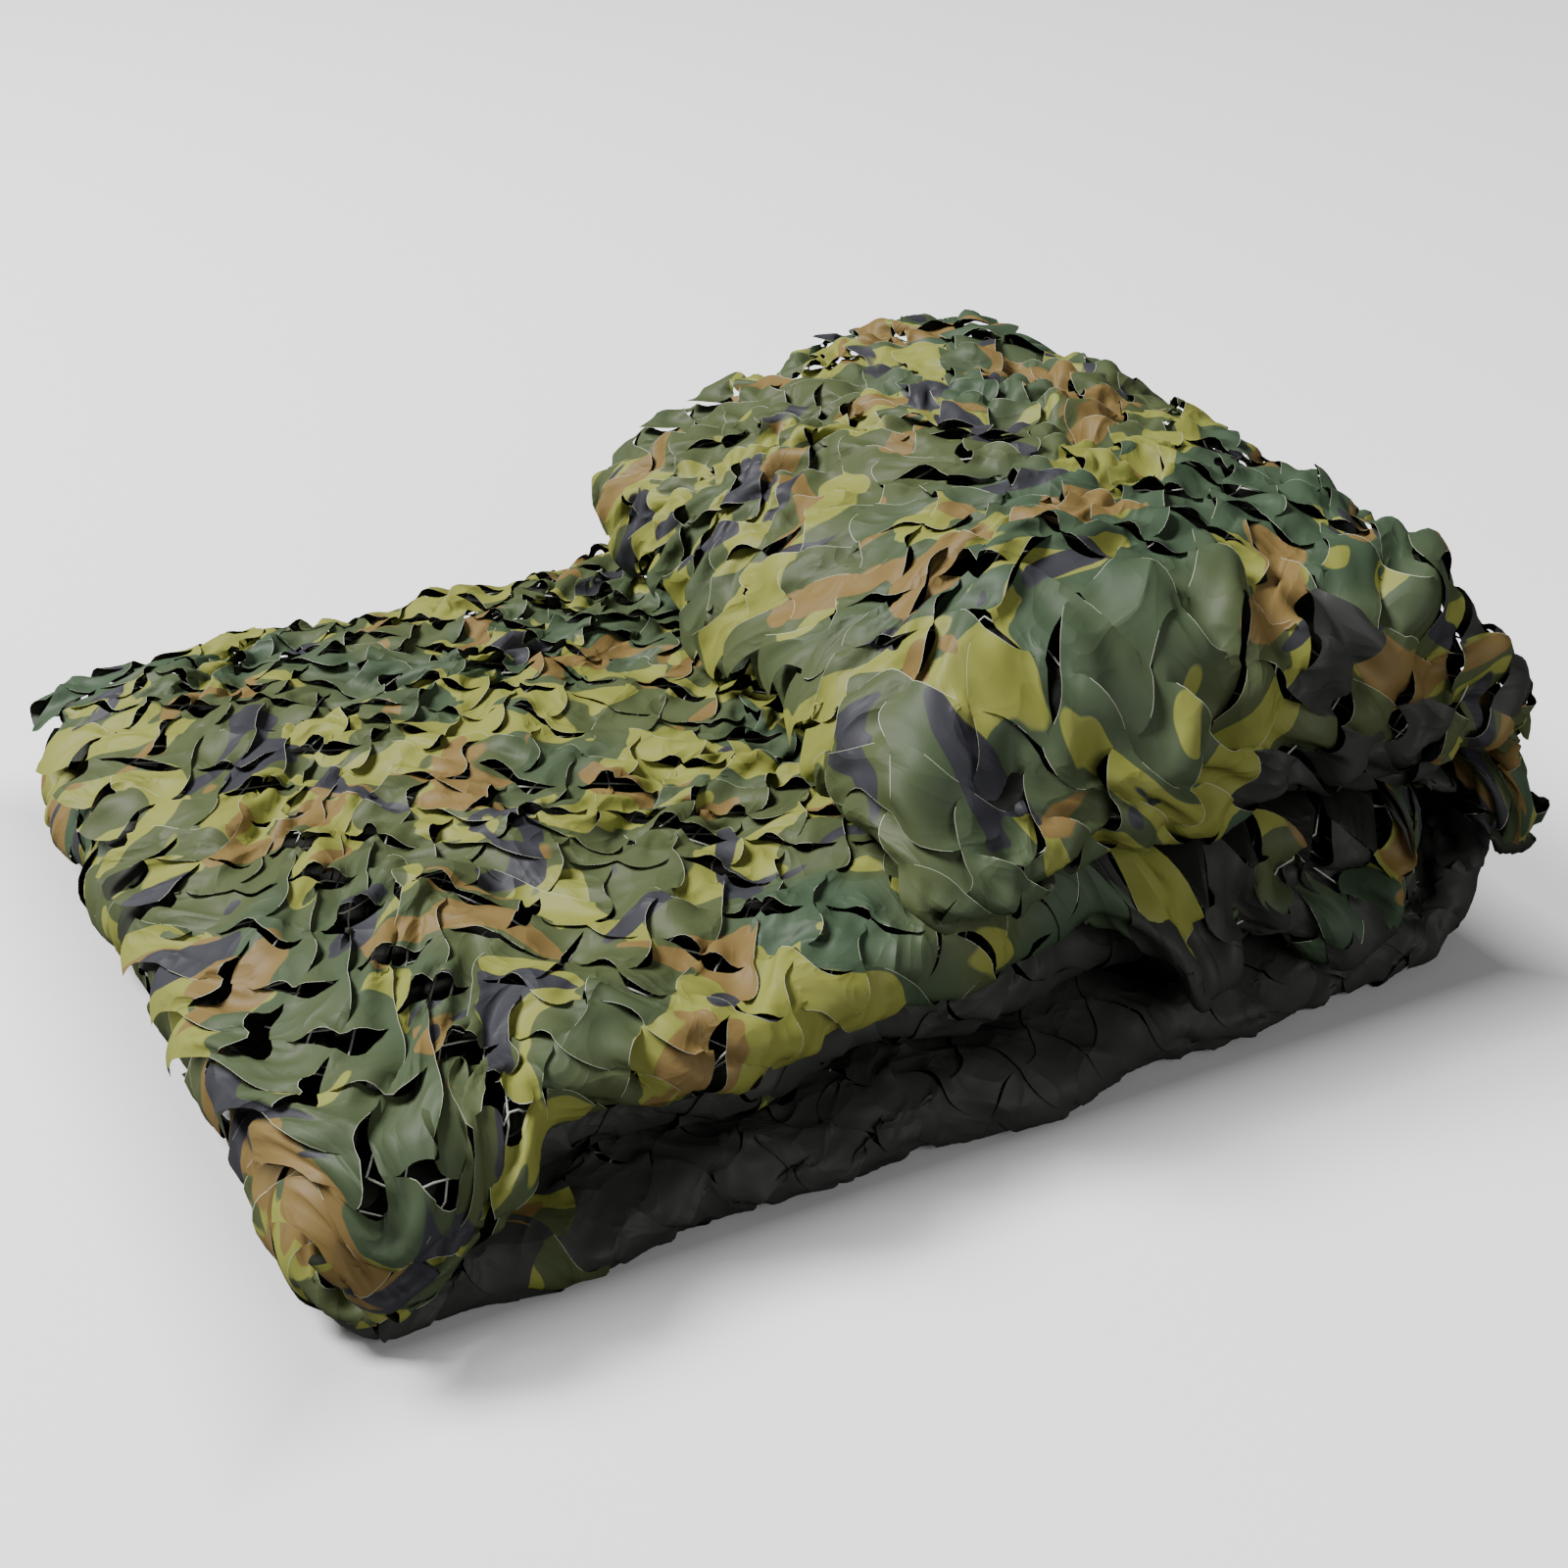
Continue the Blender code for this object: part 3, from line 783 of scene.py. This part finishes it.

# Which leaves get painted shade, a flat dark grey: nearly all along the shaded low front, from a little
# way past the left fold, and half of those under the folded-over part and at the far end of its front
LOW_PAINTED_SHADE, UNDER_PAINTED_SHADE, FAR_PAINTED_SHADE = 0.99, 0.50, 0.50
PAINTED_SHADE_START = 0.07
under_fold = free_rim & ~outer & (here_z < height(FIFTH_LAYER.floor) + LAYER / 2)
leaf_painted_dark = np.zeros(len(column), bool)
for steps, leaves in leaf_kinds:
    own = index[leaf_first[leaves][:, None] + np.arange(len(steps) ** 2)]
    chance = LOW_PAINTED_SHADE * (low_front[own].mean(1) > 0.5) * smooth(here_x[own].mean(1) / PAINTED_SHADE_START)
    chance = np.maximum(chance, UNDER_PAINTED_SHADE * (under_fold[own].mean(1) > 0.5))
    chance = np.maximum(chance, FAR_PAINTED_SHADE * far_front[own].mean(1))
    leaf_painted_dark[leaves] = random.uniform(size=len(leaves)) < chance


def new_object(name, data):
    """A new object in the scene."""
    thing = bpy.data.objects.new(name, data)
    bpy.context.scene.collection.objects.link(thing)
    return thing


def cloth_piece(name, chosen):
    """The chosen faces as a piece, with its cloth's own place as UV, and which of its leaves get
    painted shade.
    """
    used, corners = np.unique(faces[chosen], return_inverse=True)
    corners = corners.reshape(-1)
    mesh = bpy.data.meshes.new(name)
    mesh.vertices.add(len(used))
    mesh.vertices.foreach_set("co", points[used].astype(np.float32).ravel())
    mesh.loops.add(len(corners))
    mesh.loops.foreach_set("vertex_index", corners.astype(np.int32))
    mesh.polygons.add(len(corners) // 4)
    mesh.polygons.foreach_set("loop_start", np.arange(0, len(corners), 4, dtype=np.int32))
    mesh.update(calc_edges=True)
    mesh.shade_smooth()
    layer = mesh.uv_layers.new(name="cut")
    layer.data.foreach_set("uv", flat_points[faces[chosen].ravel()].astype(np.float32).ravel())
    for attribute, values in (
        ("cut_gap", cut_gap[chosen]),
        # painted shade: which leaves are painted dark grey on the shaded front and under the
        # folded-over part
        ("turned", np.repeat(leaf_painted_dark[face_leaf[chosen]], 4)),
        # painted shade: the coarse leaves deep inside the bundle are painted near black
        ("inner", np.repeat(~fine[face_leaf[chosen]], 4)),
    ):
        data = mesh.attributes.new(attribute, "FLOAT", "CORNER").data
        data.foreach_set("value", values.astype(np.float32).ravel())
    return new_object(name, mesh)


GREEN, BLUISH_GREEN = (0.080, 0.100, 0.040), (0.058, 0.092, 0.052)
# What is printed over the green: where its blobs lie in the noise, the noise's scale, the level
# that they start at, and their colour
PRINT = (
    ((0, 0, 0.3), 13.0, 0.541, (0.262, 0.275, 0.058)),  # yellow-green
    ((3.1, 1.7, 0.9), 11.0, 0.600, (0.218, 0.145, 0.048)),  # brown
    ((7.3, 4.9, 2.1), 13.5, 0.635, (0.044, 0.044, 0.053)),  # blue-grey
)
PRINT_EDGE = 0.006
# a pale cut edge that is partly a painted highlight: it is drawn only along raised upper lips
PALE_EDGE_AND_HIGHLIGHT = (0.60, 0.62, 0.48)
EDGE_AND_HIGHLIGHT_WIDTH = 0.0008
UNDERSIDE = (0.030, 0.034, 0.022)
# painted shade: the dark grey of the leaves on the shaded front and under the folded-over part
PAINTED_SHADE_DARK = (0.046, 0.047, 0.043)
PAINTED_DEEP_SHADE = (0.014, 0.015, 0.012)


def set_inputs(node, values):
    """Sets values on a node's own sockets, by their names."""
    for name, value in values.items():
        node.inputs[name].default_value = value


def new_material(name):
    """A new material, its tree of nodes and its surface shader."""
    material = bpy.data.materials.new(name)
    material.use_nodes = True
    return material, material.node_tree, material.node_tree.nodes["Principled BSDF"]


def leaf_cloth_material():
    """Thin satin polyester with fine creases, printed on one side and dark on its back, with a pale cut
    edge partly painted as a highlight, and painted shade on the shaded front's leaves and the inner
    leaves.
    """
    material, tree, shader = new_material("printed leaf cloth")
    nodes, wires = tree.nodes, tree.links
    uv = nodes.new("ShaderNodeUVMap")
    uv.uv_map = "cut"

    def noise(vector, kind, **settings):
        node = nodes.new("ShaderNodeTexNoise")
        node.noise_type = kind
        set_inputs(node, settings)
        wires.new(vector, node.inputs["Vector"])
        return node.outputs["Fac"]

    def ramp(value, start, end, top=1.0):
        node = nodes.new("ShaderNodeMapRange")
        set_inputs(node, {"From Min": start, "From Max": end, "To Max": top})
        wires.new(value, node.inputs["Value"])
        return node.outputs["Result"]

    def blobs(offset, scale, level, edge=PRINT_EDGE):
        place = nodes.new("ShaderNodeMapping")
        place.inputs["Location"].default_value = offset
        wires.new(uv.outputs["UV"], place.inputs["Vector"])
        field = noise(
            place.outputs["Vector"], "FBM", Scale=scale, Detail=1.8, Roughness=0.42, Distortion=1.2)
        return ramp(field, level, level + edge)

    def attribute(name):
        node = nodes.new("ShaderNodeAttribute")
        node.attribute_name = name
        return node.outputs["Fac"]

    def mixed(factor, first, second):
        mix = nodes.new("ShaderNodeMix")
        mix.data_type = "RGBA"
        wires.new(factor, mix.inputs["Factor"])
        for socket, value in ((mix.inputs["A"], first), (mix.inputs["B"], second)):
            if isinstance(value, tuple):
                socket.default_value = (*value, 1)
            else:
                wires.new(value, socket)
        return mix.outputs["Result"]

    colour = mixed(blobs((5.2, 2.4, 1.1), 4.0, 0.45, edge=0.15), GREEN, BLUISH_GREEN)
    for offset, scale, level, printed in PRINT:
        colour = mixed(blobs(offset, scale, level), colour, printed)
    # the pale cut edge and painted highlight along raised upper lips
    edge_and_highlight = ramp(attribute("cut_gap"), EDGE_AND_HIGHLIGHT_WIDTH, EDGE_AND_HIGHLIGHT_WIDTH / 2, top=0.95)
    colour = mixed(edge_and_highlight, colour, PALE_EDGE_AND_HIGHLIGHT)
    backface = nodes.new("ShaderNodeNewGeometry").outputs["Backfacing"]
    colour = mixed(backface, colour, UNDERSIDE)
    # painted shade: the leaves chosen along the shaded front and under the folded-over part are made
    # dark grey
    colour = mixed(attribute("turned"), colour, PAINTED_SHADE_DARK)
    # painted shade: the coarse leaves deep inside the bundle are made near black
    colour = mixed(attribute("inner"), colour, PAINTED_DEEP_SHADE)
    wires.new(colour, shader.inputs["Base Color"])
    creases = noise(
        uv.outputs["UV"], "RIDGED_MULTIFRACTAL",
        Scale=26, Detail=2.5, Roughness=0.45, Offset=0.9, Gain=1.6, Distortion=0.7)
    bump = nodes.new("ShaderNodeBump")
    set_inputs(bump, {"Distance": 0.0024, "Strength": 0.80})
    wires.new(creases, bump.inputs["Height"])
    wires.new(bump.outputs["Normal"], shader.inputs["Normal"])
    set_inputs(shader, {"Roughness": 0.55, "Specular IOR Level": 0.25})
    return material


# The one cloth is three pieces along its length, each with a third of its faces, for their size
leaf_cloth = leaf_cloth_material()
face_along = middle_along[face_leaf]
thirds = [0.0, *np.quantile(face_along, (1 / 3, 2 / 3)), NET_LENGTH]
for name, start, end in zip(("upper_end_cloth", "middle_cloth", "lower_end_cloth"), thirds, thirds[1:]):
    cloth = cloth_piece(name, (face_along >= start) & (face_along < end))
    cloth.data.materials.append(leaf_cloth)
    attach(cloth, "root")
    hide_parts("folded_net")


# ----------------------------------------------------------------------
# The string net that carries the cloth: a diamond mesh of thin pale string, to which the cloth is
# sewn at its bridges. It lies just under each ply and shows in the cloth's openings.

STRING = 0.0011  # its thickness
MESH = 0.040  # a diamond's side
STRINGS_APART = MESH * math.sqrt(2)  # along the net, since they run across it at 45 degrees
STRING_STEP = 0.009  # between the points of a string's path
STRING_SWAY = 0.0045  # off its straight line
STRING_DEPTH = 0.0058  # under the ply as it lies
DEPTH_WAVE = 0.0012
DEEPER_IN_LEFT_FOLD = 0.004
STRING_BELOW = 0.0022  # at least this much under the settled cloth that lies within CLOTH_NEAR
CLOTH_NEAR = 0.009
UPPER_TRIM, LOWER_TRIM, BACK_TRIM = 0.030, 0.045, 0.012  # how far inside the net the strings end

string_along, string_across, string_counts = [], [], []
for side in (1, -1):
    for line in range(math.ceil((NET_LENGTH + NET_WIDTH) / STRINGS_APART)):
        start = (line + 0.5) * STRINGS_APART - (NET_WIDTH if side > 0 else 0)
        across = np.linspace(0, NET_WIDTH, int(NET_WIDTH * math.sqrt(2) / STRING_STEP))
        along = start + side * across
        within = (along > UPPER_TRIM) & (along < NET_LENGTH - LOWER_TRIM) & (across > BACK_TRIM)
        if within.sum() >= 4:
            string_along.append(along[within])
            string_across.append(across[within])
            string_counts.append(within.sum())
string_along, string_across = np.concatenate(string_along), np.concatenate(string_across)
string_along = string_along + STRING_SWAY * waves(string_along, string_across, 0.06)
string_across = string_across + STRING_SWAY * waves(string_along, string_across, 0.06)

# Where a string can't be seen, every fourth of its points is enough, or every second in a fold
string_x, string_z = course(string_along)[:, :2].T
in_fold = (string_x < LEFT_END + 0.01) | (string_x > RIGHT_END - 0.01)
kept_points = np.arange(len(in_fold)) % np.where(in_fold, 2, 4) == 0
kept_points |= shows(string_along, string_across)
last = np.cumsum(string_counts) - 1
kept_points[last] = kept_points[last + 1 - string_counts] = True
line_of = np.repeat(np.arange(len(string_counts)), string_counts)[kept_points]
near = np.flatnonzero(line_of[:-1] == line_of[1:])
string_edges = np.stack([near, near + 1], 1)

depth = STRING_DEPTH + DEPTH_WAVE * waves(string_along, string_across, 0.04)
in_left_fold = (string_x < LEFT_END) & (string_z < height(SLAB_TOP_LAYER.floor) - 0.01)
string_points = shift + folded(
    np.clip(string_along, 0.003, NET_LENGTH - 0.003),
    np.clip(string_across, 0.003, NET_WIDTH - 0.003),
    -depth - DEEPER_IN_LEFT_FOLD * in_left_fold,
)[kept_points]

# No string stands through the cloth
cloth_tree = KDTree(len(points))
for i, place in enumerate(points):
    cloth_tree.insert(place, i)
cloth_tree.balance()
for string_point in string_points:
    for place, i, distance in cloth_tree.find_n(string_point, 4):
        above = (string_point - points[i]) @ outward[i] + STRING_BELOW
        if distance < CLOTH_NEAR and above > 0:
            string_point -= outward[i] * above
string_points[:, 2] = np.maximum(string_points[:, 2], (STRING + FLOOR_CLEAR) / 2)

string_mesh = bpy.data.meshes.new("string paths")
string_mesh.from_pydata(string_points.tolist(), string_edges.tolist(), [])
string_paths = new_object("string paths", string_mesh)
string_material, _, shader = new_material("pale string")
set_inputs(shader, {"Base Color": (0.50, 0.51, 0.44, 1), "Roughness": 0.6})


def calculated(tree, operation, *values):
    """The result of a math node in a tree, from numbers and other nodes' outputs."""
    node = tree.nodes.new("ShaderNodeMath")
    node.operation = operation
    for socket, value in zip(node.inputs, values):
        if isinstance(value, float):
            socket.default_value = value
        else:
            tree.links.new(value, socket)
    return node.outputs["Value"]


string_tree = bpy.data.node_groups.new("string round paths", "GeometryNodeTree")
interface = string_tree.interface
interface.new_socket("Paths", in_out="INPUT", socket_type="NodeSocketGeometry")
thickness = interface.new_socket("Thickness", in_out="INPUT", socket_type="NodeSocketFloat")
sides = interface.new_socket("Sides", in_out="INPUT", socket_type="NodeSocketInt")
interface.new_socket("String", in_out="OUTPUT", socket_type="NodeSocketGeometry")
nodes, wires = string_tree.nodes, string_tree.links
given, result = nodes.new("NodeGroupInput"), nodes.new("NodeGroupOutput")
profile = nodes.new("GeometryNodeCurvePrimitiveCircle")
tube = nodes.new("GeometryNodeCurveToMesh")
painted = nodes.new("GeometryNodeSetMaterial")
painted.inputs["Material"].default_value = string_material
radius = calculated(string_tree, "MULTIPLY", given.outputs["Thickness"], 0.5)
wires.new(radius, profile.inputs["Radius"])
wires.new(given.outputs["Sides"], profile.inputs["Resolution"])
wires.new(profile.outputs["Curve"], tube.inputs["Profile Curve"])
shape = given.outputs["Paths"]
for node in (
    nodes.new("GeometryNodeMeshToCurve"),
    tube,
    nodes.new("GeometryNodeSetShadeSmooth"),
    nodes.new("GeometryNodeRealizeInstances"),
    painted,
):
    wires.new(shape, node.inputs[0])
    shape = node.outputs[0]
wires.new(shape, result.inputs["String"])

rounding = string_paths.modifiers.new("string", "NODES")
rounding.node_group = string_tree
rounding[thickness.identifier] = STRING
rounding[sides.identifier] = 4
evaluated = string_paths.evaluated_get(bpy.context.evaluated_depsgraph_get())
string_net = new_object("string_net", bpy.data.meshes.new_from_object(evaluated))
bpy.data.objects.remove(string_paths)
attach(string_net, "root")
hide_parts("folded_net")


# ----------------------------------------------------------------------
# The floor, the light and the camera

bpy.ops.mesh.primitive_plane_add(size=60)
floor = bpy.context.object
floor.name = "floor"
floor_material, floor_tree, pale = new_material("pale floor")
nodes, wires = floor_tree.nodes, floor_tree.links
set_inputs(pale, {
    "Base Color": (0.86, 0.86, 0.86, 1),
    "Roughness": 0.9,
    "Specular IOR Level": 0.1,
    "Emission Color": (1, 1, 1, 1),
})

# To the camera it glows white all round the bundle, but not under it
split = nodes.new("ShaderNodeSeparateXYZ")
wires.new(nodes.new("ShaderNodeTexCoord").outputs["Object"], split.inputs["Vector"])
beyond = [
    calculated(floor_tree, "SUBTRACT", calculated(floor_tree, "ABSOLUTE", split.outputs[axis]), half)
    for axis, half in (("X", 0.33), ("Y", 0.27))
]
glow = nodes.new("ShaderNodeMapRange")
set_inputs(glow, {"From Min": -0.01, "From Max": 0.05, "To Max": 0.75})
wires.new(calculated(floor_tree, "MAXIMUM", *beyond), glow.inputs["Value"])
wires.new(glow.outputs["Result"], pale.inputs["Emission Strength"])

# To all other rays it is dark grey, so that it doesn't light the bundle from below
dark = nodes.new("ShaderNodeBsdfDiffuse")
dark.inputs["Color"].default_value = (0.16, 0.16, 0.16, 1)
either = nodes.new("ShaderNodeMixShader")
wires.new(nodes.new("ShaderNodeLightPath").outputs["Is Camera Ray"], either.inputs["Fac"])
wires.new(dark.outputs["BSDF"], either.inputs[1])
wires.new(pale.outputs["BSDF"], either.inputs[2])
wires.new(either.outputs["Shader"], nodes["Material Output"].inputs["Surface"])
floor.data.materials.append(floor_material)

world = bpy.data.worlds.new("studio")
bpy.context.scene.world = world
world.use_nodes = True
set_inputs(world.node_tree.nodes["Background"], {"Color": (1, 1, 1, 1), "Strength": 0.10})

target = Vector((0.0376, 0.007, 0.0517))


def softbox(name, place, size, power):
    """A square light that faces the bundle."""
    light = bpy.data.lights.new(name, "AREA")
    light.size = size
    light.energy = power
    lamp = new_object(name, light)
    lamp.location = place
    lamp.rotation_euler = (target - Vector(place)).to_track_quat("-Z", "Y").to_euler()


softbox("overhead", (-2.4, 1.7, 3.8), 1.7, 410)
softbox("front fill", (0.4, -3.0, 1.5), 1.6, 31)

AZIMUTH, ELEVATION, DISTANCE = math.radians(-27.9), math.radians(29.1), 1.289
camera_data = bpy.data.cameras.new("camera")
camera_data.lens = 54
camera = new_object("camera", camera_data)
back = Vector((
    math.sin(AZIMUTH) * math.cos(ELEVATION),
    -math.cos(AZIMUTH) * math.cos(ELEVATION),
    math.sin(ELEVATION),
))
camera.location = target + back * DISTANCE
camera.rotation_euler = back.to_track_quat("Z", "Y").to_euler()
bpy.context.scene.camera = camera
